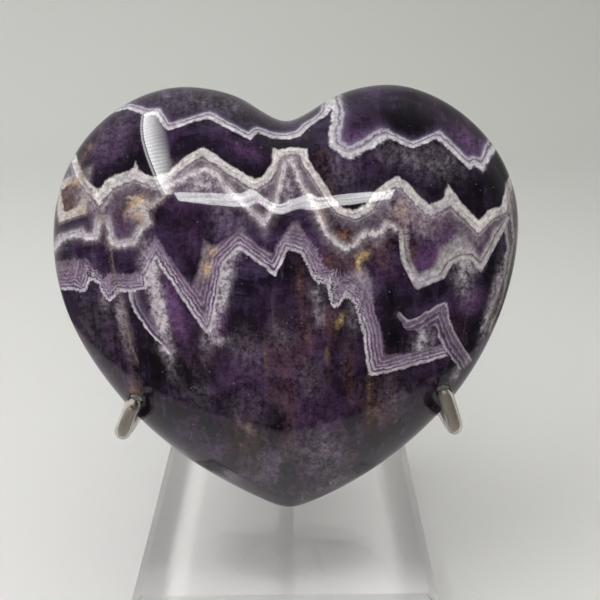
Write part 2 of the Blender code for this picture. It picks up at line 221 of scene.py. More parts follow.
MIST_PATCHES = (
    (-29.6, 0.6, 1.15, 8.6, 11, 2.4), (-31.0, 8.6, 1.5, 2.0, 20, 1.6), (-14.4, 3.6, 1.15, 8.2, -17, 1.8),
    (-15.0, -8.2, 1.3, 0.9, 0, 0.9), (40.2, 12.4, 2.0, 2.4, 10, 1.0), (40.8, 4.8, 1.5, 3.6, 14, 0.8),
    (42.6, 8.4, 2.2, 1.4, 0, 0.7), (-50.5, 7.0, 3.4, 2.0, 0, 0.5), (31.6, -8.2, 1.6, 2.0, -14, 0.9),
    (30.0, -10.4, 1.2, 1.0, 0, 0.6), (-9.0, -10, 3, 4, 30, 0.12), (-33.8, 22.4, 2.6, 1.6, 25, 1.0),
    (-19.4, 28.0, 4.2, 2.0, -8, 1.6), (-24.8, 31.6, 1.6, 1.2, 30, 0.6), (0.6, 26.0, 1.1, 3.0, 0, 0.9),
    (24, 22.8, 3.4, 3.0, -10, 0.4), (30, 17.4, 3.4, 1.6, -30, 0.4), (12.4, 4.6, 3.0, 1.6, 0, 0.8),
    (16.6, 4.0, 1.6, 2.4, 0, 0.8), (48.9, 0, 0.9, 7.0, -14, 1.1), (36, 32.0, 4, 3.0, -35, 0.3),
    (12, 30, 3, 4, 0, 0.2), (-4.8, 23.6, 2.4, 0.9, 0, 0.9), (7.4, -2.4, 0.9, 2.4, 0, 0.7),
    (6.6, 2.2, 1.0, 1.2, 0, 0.6), (-1, -7, 2.2, 2.6, 0, 0.16), (27, 33, 5, 2.4, -20, 0.25),
    (-45.8, 25, 0.9, 3.6, 18, 0.9), (-9, -24, 4, 4, 0, 0.1), (-20, -21, 3, 2.4, 0, 0.12),
    (5, -17, 2, 3, 0, 0.18), (8, -35, 5, 5, 0, 0.16), (-4, -38, 3, 4, 0, 0.12), (24, -22, 4, 4, 0, 0.1),
    (-14.5, 20.5, 2.0, 4.0, 0, 0.2), (-38, -4, 1.0, 6.0, 10, 0.7), (-42.6, 1.2, 0.8, 2.4, 0, 0.5),
    (15.6, -1.5, 1.2, 3.0, -10, 0.5),
    # The broad faint patches at (-20, 48.5) and (-41, 41) are painted sheen where the left lobe's top mirrors
    # light from behind; the rest are clouded quartz
    (-27.6, -10.2, 1.5, 0.8, 0, 0.9), (-51, 33.6, 1.4, 2.6, -30, 0.7), (-20, 48.5, 14, 4, -8, 0.14),
    (-41, 41, 6, 5, 40, 0.08), (29, 20.5, 4.4, 2.6, -35, 0.45), (20.5, 14, 1.4, 1.2, 0, 0.4),
    (40.2, -17.4, 0.8, 2.2, -25, 0.7), (-46.5, -6, 3.5, 6, 8, 0.1),
)
RUST_PATCHES = (
    (12.6, 15.2, 1.9, 1.3, -10, 1.4), (14.8, 14.6, 1.2, 0.7, 0, 0.8), (-36.4, 21.4, 2.6, 1.8, 30, 0.7),
    (9.6, 26.0, 1.2, 3.4, 28, 0.6), (28.6, 11.6, 0.8, 1.8, 0, 0.8), (24.6, 18.6, 1.8, 1.8, 0, 0.5),
    (26.6, 16.8, 1.0, 1.4, 0, 0.6), (12.2, 4.2, 1.6, 2.2, 0, 0.35), (9.6, -3.4, 1.6, 4.0, -8, 0.4),
    (-1.2, -13, 3.0, 4.0, 0, 0.25), (4.4, -6, 1.6, 6.0, 0, 0.3), (-37.4, -7.5, 0.9, 5.0, 10, 0.3),
    (-47.6, 36.0, 0.7, 1.8, -42, 1.2), (-36.5, -20.0, 1.2, 2.0, 0, 0.8), (-11, -31, 2.6, 3.4, 0, 0.3),
    (14, -16, 1.0, 7, 0, 0.25), (0.6, -24, 1.4, 6.0, 0, 0.2), (37.6, 22.0, 1.6, 1.2, 0, 0.4),
    (10.4, 10.0, 1.0, 2.6, 10, 0.5), (-47.2, 26.0, 0.5, 4.0, 8, 0.5), (3.4, 5.2, 1.2, 3.4, 0, 0.5),
    (20, -24, 3.0, 5.0, 0, 0.3), (30, 19, 4.0, 2.0, -30, 0.5), (8.6, 33, 1.4, 2.6, 28, 0.3),
    (22, 10, 1.2, 2.4, 0, 0.35), (12, 9.2, 3.5, 2.2, 0, 0.45), (21, 13, 3.0, 2.0, -30, 0.4),
)
GOLD_PATCHES = (
    (16.2, 9.4, 0.35, 1.4, -8, 1.3), (17.4, 11.0, 1.1, 0.7, 35, 1.0), (-17.8, 8.4, 0.8, 1.4, -10, 0.9),
    (-16.6, 12.2, 0.8, 0.5, 30, 0.9), (-34.4, 23.6, 1.8, 0.9, 35, 0.7), (-33.6, 20.2, 1.0, 1.2, 30, 0.5),
    (12.0, -3.6, 0.45, 1.3, -28, 0.8), (26.2, 21.6, 0.9, 1.3, 0, 0.4), (-49.6, 29.2, 1.6, 0.5, 20, 0.9),
    (9.0, -13, 0.14, 2.6, 0, 0.35), (-9.6, -28.6, 1.2, 0.8, -30, 0.15), (-5.0, -12, 0.3, 3.4, 0, 0.2),
    (18.6, -21, 0.2, 6.0, 0, 0.2), (8.0, 21.0, 0.8, 2.0, 20, 0.3), (-48.2, 22.2, 1.2, 0.6, 0, 0.6),
)
# Where the fronts are broken up into small crystals instead of clean lines
RAGGED_PATCHES = (
    (11, 3, 5, 5, 0, 0.9), (17, -1, 2, 8, -8, 0.7), (-50, 7, 5, 4, 0, 0.6), (-40, 5, 5, 3, 0, 0.6),
    (14, 14, 7, 4, 0, 0.6), (23, 21, 5, 5, 0, 0.5), (31, 17, 5, 4, 0, 0.5), (-31, 12, 3, 5, 0, 0.5),
    (-42, 25, 5, 5, 0, 0.4), (7, 14, 2, 6, 0, 0.5), (0, 24, 4, 8, 0, 0.3), (35, -2, 5, 4, 0, 0.3),
    (-24, 27, 6, 4, 0, 0.4), (-31, 23, 4, 3, 0, 0.7),
)


def linear(hex_colour):
    """Linear RGBA of an sRGB hex colour."""
    values = [int(hex_colour[k:k + 2], 16) / 255 for k in (1, 3, 5)]
    return (*[v / 12.92 if v <= 0.04045 else ((v + 0.055) / 1.055) ** 2.4 for v in values], 1.0)


def add_node(tree, kind, settings=None, inputs=None):
    """A shader node with its settings, and with each input either linked from a socket or set to a value."""
    node = tree.nodes.new("ShaderNode" + kind)
    for name, value in (settings or {}).items():
        setattr(node, name, value)
    for name, value in (inputs or {}).items():
        socket = node.inputs[name]
        if isinstance(value, bpy.types.NodeSocket):
            tree.links.new(value, socket)
        else:
            socket.default_value = value
    return node


def new_material(name):
    material = bpy.data.materials.new(name)
    material.use_nodes = True
    material.node_tree.nodes.clear()
    return material, material.node_tree


def finish_material(material, shader):
    add_node(material.node_tree, "OutputMaterial", inputs={"Surface": shader.outputs[0]})
    return material


def select_only(obj):
    bpy.ops.object.select_all(action="DESELECT")
    obj.select_set(True)
    bpy.context.view_layer.objects.active = obj


def edit_mesh(obj, operator, **options):
    """Runs one mesh operator on the whole of an object, and leaves it selected."""
    select_only(obj)
    bpy.ops.object.mode_set(mode="EDIT")
    bpy.ops.mesh.select_all(action="SELECT")
    operator(**options)
    bpy.ops.object.mode_set(mode="OBJECT")


def smooth_copy(node, name, levels, crease=None):
    """A piece from a CAD node's own surface, with its loose triangles joined and rounded off.

    Edges sharper than crease, in degrees, are kept nearly sharp.
    """
    piece = bpy.data.objects.new(name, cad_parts[node].data.copy())
    bpy.context.scene.collection.objects.link(piece)
    piece.data.materials.clear()
    edit_mesh(piece, bpy.ops.mesh.remove_doubles, threshold=WELD)
    edit_mesh(piece, bpy.ops.mesh.tris_convert_to_quads,
              face_threshold=math.radians(35), shape_threshold=math.radians(60))
    if crease:
        bm = bmesh.new()
        bm.from_mesh(piece.data)
        layer = bm.edges.layers.float.new("crease_edge")
        for edge in bm.edges:
            if len(edge.link_faces) == 2 and edge.calc_face_angle() > math.radians(crease):
                edge[layer] = 0.85
        bm.to_mesh(piece.data)
        bm.free()
    if levels:
        rounding = piece.modifiers.new("rounding", "SUBSURF")
        rounding.levels = rounding.render_levels = levels
        bpy.ops.object.modifier_apply(modifier=rounding.name)
    bpy.ops.object.shade_smooth()
    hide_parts(node)
    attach(piece, "root")
    return piece


def front_distance(front, places):
    """For each place: distance above a zigzag front, share that fades past its ends, and run along it."""
    points = np.array(front, float)
    steps = np.diff(points, axis=0)
    lengths = np.hypot(steps[:, 0], steps[:, 1])
    ways = steps / lengths[:, None]
    lefts = np.column_stack((-ways[:, 1], ways[:, 0]))
    starts = np.concatenate(([0.0], np.cumsum(lengths)[:-1]))
    last = len(ways) - 1
    closed = front[0] == front[-1]
    near = np.full(len(places), np.inf)
    side = np.ones(len(places))
    along = np.zeros(len(places))
    for k, way in enumerate(ways):
        offset = places - points[k]
        run = offset @ way
        clipped = np.clip(run, 0, lengths[k])
        gap = np.hypot(*(offset - clipped[:, None] * way).T)
        before = lefts[k - 1] if k or closed else np.zeros(2)
        after = lefts[(k + 1) % len(ways)] if k < last or closed else np.zeros(2)
        facing = np.where(run < 0, offset @ (lefts[k] + before), offset @ lefts[k])
        facing = np.where(run > lengths[k], (places - points[k + 1]) @ (lefts[k] + after), facing)
        closer = gap < near
        near = np.where(closer, gap, near)
        side = np.where(closer, np.where(facing >= 0, 1.0, -1.0), side)
        along = np.where(closer, starts[k] + run, along)
    # Within each sector between two corners' bisectors the layers stay straight
    best = near.copy()
    for k, way in enumerate(ways):
        enter = way + ways[k - 1] if k or closed else way
        leave = way + ways[(k + 1) % len(ways)] if k < last or closed else way
        offset = places - points[k]
        height = offset @ lefts[k]
        inside = ((offset @ enter) >= -1e-6) & (((places - points[k + 1]) @ leave) <= 1e-6)
        inside &= (height * side > 0) & (near < CORNER_REACH)
        best = np.where(inside, np.minimum(best, np.abs(height)), best)
    over = np.zeros(len(places)) if closed else np.maximum(-along, along - lengths.sum())
    return best * side, np.clip(1 - over / END_FADE, 0, 1), along


def patch_field(patches, places):
    """Sum of soft oval patches at each place."""
    total = np.zeros(len(places))
    for u, w, across, up, turn, strength in patches:
        a = math.radians(turn)
        offset = places - np.array((u, w))
        x = (offset[:, 0] * math.cos(a) + offset[:, 1] * math.sin(a)) / across
        y = (offset[:, 1] * math.cos(a) - offset[:, 0] * math.sin(a)) / up
        total += strength * np.exp(-0.7 * (x * x + y * y))
    return total


def store(mesh, name, columns):
    """Writes one to three numbers for each vertex as a named attribute."""
    values = np.zeros((len(mesh.vertices), 3), np.float32)
    for k, column in enumerate(columns):
        values[:, k] = column
    attribute = mesh.attributes.new(name, "FLOAT_VECTOR", "POINT")
    attribute.data.foreach_set("vector", values.ravel())


def mark_growth(mesh):
    """Carries the growth fronts and patches through the stone and leaves them on its surface."""
    count = len(mesh.vertices)
    co = np.zeros(count * 3)
    mesh.vertices.foreach_get("co", co)
    offset = co.reshape(-1, 3) - np.array(HEART_CENTRE)
    depth = offset @ np.array(HEART_FRONT) / MM
    places = np.column_stack((offset[:, 0], offset @ np.array(HEART_UP))) / MM
    # The fronts run through the stone, and the back shows them at other places
    behind = np.maximum(0.0, -depth)
    places = places + behind[:, None] * np.array(BACK_LEAN)
    places[:, 1] += BACK_WAVE * np.sin(places[:, 0] * 0.31 + 1.0) * np.minimum(1, behind / BACK_WAVE_FULL)

    nearest = np.full((3, count), np.inf)
    for name, front in FRONTS.items():
        distance, share, run = front_distance(front, places)
        nearest = np.where(np.abs(distance) < nearest[2], (distance, run, np.abs(distance)), nearest)
        if name in THICKNESS:
            sides, thickness = THICKNESS[name]
            scaled = distance / np.interp(places[:, 0], *zip(*thickness))
            distance = scaled if sides == "both" else np.where(distance > 0, distance, scaled)
        store(mesh, name, (distance, share, run))
    store(mesh, "nearest_front", nearest[:2])
    for name, kinds in (
            ("growth_patches", (DARK_PATCHES, VIOLET_PATCHES, MIST_PATCHES)),
            ("stain_patches", (RUST_PATCHES, GOLD_PATCHES, RAGGED_PATCHES))):
        store(mesh, name, [patch_field(patches, places) for patches in kinds])
    store(mesh, "place", (places[:, 0], places[:, 1], depth * 0.5))


# Growth layers as (distance in mm, colour, cover): white quartz, violet amethyst and lilac between them
LAYERS = {
    "upper_front": (
        (-0.35, "#5e5562", 0.0), (-0.08, "#857d86", 0.7), (0.1, "#c3bec3", 1), (0.75, "#c6c2c6", 1),
        (0.95, "#a29ba6", 1), (1.12, "#6d6275", 1), (1.3, "#75697d", 1), (1.5, "#b3adb7", 1),
        (1.85, "#a8a1ae", 0.95), (2.1, "#6e6479", 0.75), (2.8, "#4c4056", 0.35), (4.5, "#3b3044", 0.0),
    ),
    "main_front": (
        (-7.0, "#584a5c", 0.0), (-4.6, "#665964", 0.35), (-3.1, "#7d7079", 0.65), (-2.7, "#a59ba1", 0.8),
        (-2.45, "#6a5d66", 0.85), (-2.2, "#8d8288", 0.9), (-2.0, "#bdb7b7", 1), (-1.35, "#c9c4c2", 1),
        (-1.15, "#a59d9f", 1), (-0.95, "#cdc8c5", 1), (-0.3, "#cfc9c5", 1), (-0.08, "#a99e98", 0.95),
        (0.08, "#4a4044", 0.6), (0.3, "#17121a", 0.75), (2.4, "#17121a", 0.5), (4.6, "#1d1723", 0.0),
    ),
    "inner_front": (
        (-3.0, "#6a5f6a", 0.0), (-1.3, "#776c76", 0.5), (-0.7, "#9b9198", 0.75), (-0.42, "#bfb8ba", 1),
        (0.3, "#c2bbbc", 1), (0.5, "#8e8389", 0.9), (0.8, "#a1979a", 0.8), (1.1, "#7b6f77", 0.65),
        (2.2, "#75686f", 0.0),
    ),
    "inner_line": (
        (-3.2, "#4d3c4a", 0.0), (-0.6, "#55434f", 0.8), (-0.25, "#8b7f87", 0.8), (0.0, "#aaa2a6", 1),
        (0.3, "#83777f", 0.8), (1.2, "#6d5f6b", 0.5), (2.0, "#6d5f6b", 0.0),
    ),
    "second_line": (
        (-1.2, "#7c6d68", 0.0), (-0.5, "#8d7f78", 0.6), (-0.2, "#b9aea2", 0.9), (0.15, "#b6a99b", 0.9),
        (0.4, "#6b5560", 0.6), (1.4, "#5a4552", 0.0),
    ),
    "side_front": (
        (-1.6, "#4f444b", 0.0), (-0.7, "#665b63", 0.6), (-0.1, "#8f868b", 0.85), (0.15, "#b6b0b1", 1),
        (0.8, "#bab4b5", 1), (1.0, "#928993", 0.9), (1.25, "#b0a9ad", 0.9), (1.6, "#9d949a", 0.8),
        (2.2, "#6f6270", 0.45), (3.6, "#57465a", 0.25), (5.0, "#4a3a50", 0.0),
    ),
    "lilac_low": (
        (-0.25, "#8a7f8a", 0.0), (-0.02, "#b4acb4", 0.95), (0.42, "#cbc5ca", 1), (0.58, "#877b8a", 1),
        (0.72, "#46334c", 1), (0.9, "#4c3952", 1), (1.08, "#a799a6", 1), (1.3, "#aea1ad", 1),
        (1.48, "#58435d", 1), (1.72, "#513d57", 1), (1.92, "#948495", 1), (2.1, "#8f7f90", 1),
        (2.3, "#503d56", 1), (2.6, "#5e4b62", 1), (2.85, "#928390", 1), (3.1, "#69586b", 1),
        (3.4, "#54415a", 1), (3.7, "#857581", 1), (4.3, "#5c4b5d", 1), (4.9, "#7e6f79", 1),
        (6.0, "#5f4f5c", 1), (7.0, "#776870", 1), (9.0, "#5f505a", 1),
    ),
    "left_vee": (
        (-0.25, "#857b87", 0.0), (-0.05, "#b3abb4", 0.95), (0.3, "#c6c0c5", 1), (0.45, "#65576b", 1),
        (0.62, "#3b2e40", 1), (1.0, "#40324a", 0.9), (1.2, "#85788a", 0.8), (1.6, "#6d5f72", 0.6),
        (3.0, "#66586c", 0.0),
    ),
    "right_vee_low": (
        (-2.4, "#584c54", 0.0), (-0.7, "#6e636a", 0.45), (-0.15, "#958c8f", 0.9), (0.2, "#b5aeae", 1),
        (0.8, "#afa8a7", 1), (1.0, "#655a60", 1), (1.2, "#797076", 1), (1.5, "#aca5a5", 1),
        (3.0, "#8f878a", 1), (6.0, "#7c7378", 0.9),
    ),
    "hook_top": (
        (-3.9, "#8a7f8a", 1), (-3.6, "#aaa1a9", 1), (-3.35, "#7a6e7b", 1), (-3.1, "#4b3c53", 1),
        (-2.75, "#52435a", 1), (-2.5, "#8a7e8f", 1), (-2.3, "#6a5c6c", 1), (-1.9, "#54455a", 1),
        (-1.6, "#5a4b60", 1), (-1.4, "#8c818f", 1), (-1.15, "#645665", 1), (-0.5, "#6d606e", 1),
        (-0.2, "#9b919a", 1), (0.0, "#a39aa2", 0.9), (0.25, "#7c717e", 0.0),
    ),
    "rim_line_a": (
        (-0.9, "#6b6266", 0.0), (-0.35, "#a19a98", 0.8), (0.3, "#999292", 0.8), (0.55, "#5f555a", 0.5),
        (0.95, "#878081", 0.5), (1.6, "#6d6366", 0.0),
    ),
    "rust_line": (
        (-1.4, "#4c4144", 0.0), (-0.4, "#5a4b48", 0.4), (-0.1, "#77645a", 0.6), (0.1, "#77645a", 0.6),
        (0.3, "#574843", 0.0),
    ),
    "window_edge": (
        (-3.2, "#3a2119", 1), (-1.0, "#48291e", 1), (-0.3, "#371d15", 1), (-0.05, "#654639", 1),
        (0.12, "#aa9a90", 1), (0.75, "#b9b1ac", 1), (1.5, "#b3aaa5", 1), (1.9, "#a79fa0", 0.95),
        (2.1, "#5b5053", 0.9), (2.3, "#7b7175", 0.7), (3.0, "#5f545a", 0.0),
    ),
}
LAYERS["rim_line_b"] = LAYERS["rim_line_a"]


def swatch(name, description, hex_colour):
    """A colour property that starts at an sRGB hex colour."""
    return FloatVectorProperty(
        name=name, description=description, subtype="COLOR", size=4, min=0, max=1, default=linear(hex_colour))


class AmethystSettings(bpy.types.PropertyGroup):
    body: swatch("Body", "Colour of the smoky violet stone between the bands", "#33223a")
    deep: swatch("Deep", "Colour of the body where it is clearest", "#19101e")
    shade: swatch("Shade", "Colour of the darkest places beside the bands", "#100c13")
    violet: swatch("Violet", "Colour where light comes through the stone", "#5b3f62")
    mist: swatch("Mist", "Colour of the clouded quartz", "#a79da4")
    rust: swatch("Rust", "Colour of the iron stains", "#6b4b3e")
    gold: swatch("Gold", "Colour of the bright iron flakes", "#c2a67a")
    polish: FloatProperty(
        name="Polish", description="Roughness of the polished face", subtype="FACTOR",
        min=0, max=1, default=0.03)


class StandSettings(bpy.types.PropertyGroup):
    acrylic: swatch("Acrylic", "Tint of the clear block", "#fdfcfc")
    steel: swatch("Steel", "Colour of the post and the wires", "#8f8a83")
    vinyl: swatch("Vinyl", "Tint of the clear tubing", "#f0ebe6")
    edge_round: FloatProperty(
        name="Edge rounding", description="How far the block's polished edges are rounded off",
        subtype="DISTANCE", unit="LENGTH", min=0.0001, max=0.001, default=0.00045)


class StageSettings(bpy.types.PropertyGroup):
    floor: swatch("Floor", "Colour of the paper under the stand", "#dbdad9")
    # The wall colour is the paper's colour with painted shade
    wall: swatch("Wall", "Colour of the paper where it runs up behind", "#bfc0bb")
    eye: FloatVectorProperty(
        name="Camera place", description="Where the camera stands", subtype="XYZ", unit="LENGTH", size=3,
        default=(0.0044, -0.1874, 0.1573))
    pitch: FloatProperty(
        name="Camera pitch", description="How far the camera looks down", subtype="ANGLE", unit="ROTATION",
        default=math.radians(23.4))
    roll: FloatProperty(
        name="Camera roll", description="How far the camera is turned in its own plane", subtype="ANGLE",
        unit="ROTATION", default=math.radians(0.5))
    lens: FloatProperty(
        name="Lens", description="Focal length for a 36 mm wide sensor", subtype="DISTANCE_CAMERA",
        min=10, max=200, default=48)
    lamps: FloatProperty(
        name="Lamp strength", description="Multiplies the power of every lamp", min=0, max=10, default=1.0)


def maths(tree, operation, a, b=0.0):
    return add_node(tree, "Math", {"operation": operation}, {0: a, 1: b}).outputs[0]


def times(tree, a, b):
    return maths(tree, "MULTIPLY", a, b)


def plus(tree, a, b):
    return maths(tree, "ADD", a, b)


def length(tree, vector):
    return add_node(tree, "VectorMath", {"operation": "LENGTH"}, {0: vector}).outputs["Value"]


def mapped(tree, vector, scale, turn=0.0, move=(0.0, 0.0, 0.0)):
    """A pattern's place, stretched, turned in the heart's plane by so many degrees, and moved."""
    rotation = (0.0, 0.0, math.radians(turn))
    return add_node(tree, "Mapping", inputs={
        "Vector": vector, "Location": move, "Rotation": rotation, "Scale": scale}).outputs["Vector"]


def ranged(tree, value, low, high, to_low=0.0, to_high=1.0):
    node = add_node(tree, "MapRange", {"clamp": True}, {
        "Value": value, "From Min": low, "From Max": high, "To Min": to_low, "To Max": to_high})
    return node.outputs["Result"]


def three(tree, name):
    """The three numbers of a vector attribute."""
    parts = add_node(tree, "SeparateXYZ", inputs={
        "Vector": add_node(tree, "Attribute", {"attribute_name": name}).outputs["Vector"]})
    return parts.outputs["X"], parts.outputs["Y"], parts.outputs["Z"]


def noise(tree, vector, scale, detail=3.0, rough=0.55, distortion=0.0):
    node = add_node(tree, "TexNoise", inputs={
        "Vector": vector, "Scale": scale, "Detail": detail, "Roughness": rough, "Distortion": distortion})
    return node.outputs["Fac"]


def tint_over(tree, colour, share, tint):
    """Mixes a tint over a colour by a share that is held between 0 and 1."""
    held = add_node(tree, "Math", {"operation": "MULTIPLY", "use_clamp": True}, {0: share, 1: 1.0})
    mix = add_node(tree, "Mix", {"data_type": "RGBA"}, {"Factor": held.outputs[0], 6: colour, 7: tint})
    return mix.outputs[2]


def along_front(tree, distance, run, along, away, detail=3.0, rough=0.6):
    """Noise in a front's own measures: so many features per mm along it and away from it."""
    point = add_node(tree, "CombineXYZ", inputs={
        "X": times(tree, run, along), "Y": times(tree, distance, away)})
    return noise(tree, point.outputs["Vector"], 1.0, detail, rough)


def colour_ramp(tree, value, colours):
    """A ramp's outputs, from pairs of a place, in the value's own measure, and a colour."""
    low, high = colours[0][0], colours[-1][0]
    ramp = add_node(tree, "ValToRGB", inputs={"Fac": ranged(tree, value, low, high)})
    stops = ramp.color_ramp.elements
    while len(stops) < len(colours):
        stops.new(0.5)
    for stop, (at, colour) in zip(stops, colours):
        stop.position = (at - low) / (high - low)
        stop.color = colour
    return ramp.outputs


def layers_over(tree, colour, front, shift, plain, value, cover=None, pale="#aaa2aa"):
    """Paints a front's growth layers over a colour; plain is where their lines fade into pale quartz."""
    distance, share, _ = three(tree, front)
    ramp = colour_ramp(tree, plus(tree, distance, shift), [
        (at, (*linear(tint)[:3], opacity)) for at, tint, opacity in LAYERS[front]])
    share = times(tree, ramp["Alpha"], share)
    if cover is not None:
        share = times(tree, share, cover)
    fade = times(tree, plain, ranged(tree, ramp["Alpha"], 0.9, 1.0))
    shown = tint_over(tree, ramp["Color"], fade, linear(pale))
    shown = add_node(tree, "HueSaturation", inputs={"Color": shown, "Value": value}).outputs["Color"]
    return tint_over(tree, colour, share, shown)


def polished_amethyst(settings):
    """Chevron amethyst, cut and tumbled to a mirror polish: smoky violet quartz with white growth bands.

    Quartz's low IOR keeps the face dark between a few hard highlights; the bands lie under the polish.
    """
    material, tree = new_material("polished chevron amethyst")
    place = add_node(tree, "Attribute", {"attribute_name": "place"}).outputs["Vector"]
    dark, violet, mist = three(tree, "growth_patches")
    rust, gold, ragged = three(tree, "stain_patches")
    low_zone = ranged(tree, three(tree, "place")[1], *LOW_ZONE)

    # Places are in mm: clouds of 9 mm, clumps of 5, tufts of 2.5, grit of 1, grain of 0.6, tall streaks
    upright = mapped(tree, place, (1.0, 0.25, 1.0))
    slanted = mapped(tree, place, (0.4, 1.0, 1.0), 35)
    cloud = noise(tree, place, 0.11, 4.0, 0.55, 0.4)
    tuft = noise(tree, place, 0.4, 3.0, 0.55)
    grit = noise(tree, place, 0.8, 8.0, 0.72)
    grain = noise(tree, place, 1.7, 4.0, 0.6)
    streak = noise(tree, upright, 0.45, 5.0, 0.65, 0.3)
    tall = noise(tree, upright, 0.2, 4.0, 0.6, 0.5)
    slant = noise(tree, slanted, 0.3, 7.0, 0.66, 0.4)
    clump = noise(tree, place, 0.2, 7.0, 0.62, 0.8)

    # Body: smoky violet, and below a mass of grey, brown and violet crystals
    colour = tint_over(tree, tuple(settings.deep), ranged(tree, cloud, 0.38, 0.64), tuple(settings.body))
    colour = tint_over(tree, colour, ranged(tree, slant, 0.48, 0.72, 0.0, 0.55), linear("#564a68"))
    warped = add_node(tree, "VectorMath", {"operation": "MULTIPLY_ADD"}, {
        0: add_node(tree, "TexNoise", inputs={"Vector": place, "Scale": 0.3, "Detail": 3.0}).outputs["Color"],
        1: (4.0, 6.0, 3.0), 2: place})
    squat = mapped(tree, warped.outputs[0], (1.0, 0.6, 1.0))
    cells = add_node(tree, "TexVoronoi", {"feature": "SMOOTH_F1"}, {
        "Vector": squat, "Scale": 0.24, "Smoothness": 0.15})
    cell = add_node(tree, "SeparateColor", inputs={"Color": cells.outputs["Color"]}).outputs
    facets = add_node(tree, "TexVoronoi", inputs={"Vector": squat, "Scale": 0.6})
    facet = add_node(tree, "SeparateColor", inputs={"Color": facets.outputs["Color"]}).outputs["Red"]
    for value, low, high, amount, tint in (
            (cell["Red"], 0.55, 0.8, 0.5, "#47364a"), (tall, 0.46, 0.6, 0.65, "#3b2c2a"),
            (cell["Green"], 0.5, 0.7, 0.75, "#160e1a"), (cell["Blue"], 0.6, 0.8, 0.5, "#37233e"),
            (clump, 0.56, 0.67, 0.45, "#5b4764"), (clump, 0.5, 0.39, 0.8, "#120b16")):
        share = times(tree, ranged(tree, value, low, high, 0.0, amount), low_zone)
        colour = tint_over(tree, colour, share, linear(tint))
    colour = tint_over(tree, colour, ranged(tree, streak, 0.56, 0.74, 0.0, 0.4), linear("#5c4b66"))
    broken = times(tree, ranged(tree, grit, 0.38, 0.6, 0.2, 1.0), ranged(tree, streak, 0.36, 0.58, 0.4, 1.2))
    for patch, over, tint in (
            (dark, ranged(tree, streak, 0.38, 0.62, 1.2, 0.6), settings.shade),
            (violet, ranged(tree, grit, 0.38, 0.6, 0.5, 1.1), settings.violet),
            (rust, broken, settings.rust), (mist, broken, settings.mist)):
        colour = tint_over(tree, colour, times(tree, patch, over), tuple(tint))

    # Bands: fibres stand on the fronts and move their edges, and fine growth lines run along them
    near, run, _ = three(tree, "nearest_front")
    fibre = along_front(tree, near, run, 1.3, 0.3)
    lines = along_front(tree, near, run, 0.3, 3.4, 2.0)
    rough_edge = ranged(tree, ragged, 0.0, 1.0, 0.12, 1.2)
    shift = times(tree, ranged(tree, fibre, 0.2, 0.8, -1.0, 1.0), rough_edge)
    shift = plus(tree, shift, ranged(tree, tuft, 0.25, 0.75, -0.25, 0.25))
    shift = plus(tree, shift, ranged(tree, grit, 0.3, 0.7, -0.12, 0.12))
    plain = ranged(tree, cloud, 0.48, 0.64, 0.1, 0.75)
    value = plus(tree, ranged(tree, lines, 0.3, 0.7, 0.82, 1.1), ranged(tree, grit, 0.32, 0.66, -0.16, 0.14))

    below, shown, main_run = three(tree, "main_front")
    feather = times(tree, ranged(tree, below, -6.5, -1.8), ranged(tree, below, 0.0, -0.6))
    feather = times(tree, feather, shown)
    comb = along_front(tree, below, main_run, 2.0, 0.25)
    feather = times(tree, feather, ranged(tree, comb, 0.42, 0.7, 0.0, 0.6))
    colour = tint_over(tree, colour, feather, linear("#9b9098"))
    for front in (
            "side_front", "second_line", "inner_line", "window_edge", "main_front", "inner_front",
            "upper_front", "rim_line_a", "rim_line_b", "left_vee"):
        colour = layers_over(tree, colour, front, shift, plain, value)

    def between(low_front, top_front, soft):
        """1 above one front and under another, with a feathered upper edge."""
        above, share, _ = three(tree, top_front)
        over, _, _ = three(tree, low_front)
        edge = plus(tree, above, times(tree, shift, 1.6))
        share = times(tree, ranged(tree, edge, soft, -soft), share)
        return times(tree, share, ranged(tree, over, -0.3, -0.25))

    vee = between("right_vee_low", "right_vee_top", 0.6)
    colour = layers_over(tree, colour, "right_vee_low", shift, plain, value, vee)
    lilac = between("lilac_low", "lilac_top", 0.35)
    colour = layers_over(tree, colour, "lilac_low", shift, times(tree, plain, 0.8), value, lilac, "#85798a")
    over_hook, hook_share, _ = three(tree, "hook_low")
    hook = times(tree, ranged(tree, plus(tree, over_hook, shift), -0.1, 0.15), hook_share)
    colour = layers_over(tree, colour, "hook_top", shift, 0.0, value, hook)
    colour = layers_over(tree, colour, "rust_line", shift, 0.0, value)
    # Stains, mist and flakes lie over the bands too
    for patch, over, tint in (
            (rust, ranged(tree, grit, 0.46, 0.6, 0.0, 0.5), settings.rust),
            (mist, ranged(tree, grit, 0.42, 0.6, 0.0, 0.18), linear("#bdb4bb")),
            (gold, ranged(tree, grain, 0.35, 0.6, 0.5, 1.1), settings.gold)):
        colour = tint_over(tree, colour, times(tree, patch, over), tuple(tint))

    # Fine grain over all, and sparse glittering specks a few tenths of a millimetre wide
    value = plus(tree, ranged(tree, grain, 0.3, 0.7, 0.74, 1.2), ranged(tree, streak, 0.3, 0.7, -0.2, 0.2))
    value = plus(tree, value, times(tree, ranged(tree, facet, 0.0, 1.0, -0.2, 0.2), low_zone))
    value = plus(tree, value, ranged(tree, grit, 0.36, 0.64, -0.24, 0.2))
    grained = add_node(tree, "HueSaturation", inputs={"Color": colour, "Value": value})
    specks = add_node(tree, "TexVoronoi", inputs={"Vector": place, "Scale": 0.9, "Randomness": 1.0})
    lit = add_node(tree, "SeparateColor", inputs={"Color": specks.outputs["Color"]})
    near_speck = ranged(tree, specks.outputs["Distance"], 0.2, 0.1)
    speck = times(tree, near_speck, ranged(tree, lit.outputs["Red"], 0.85, 0.97))
    colour = tint_over(tree, grained.outputs["Color"], times(tree, speck, 0.25), linear("#b9b1ba"))
    shader = add_node(tree, "BsdfPrincipled", inputs={
        "Base Color": colour, "Roughness": settings.polish, "IOR": QUARTZ_IOR})
    return finish_material(material, shader)


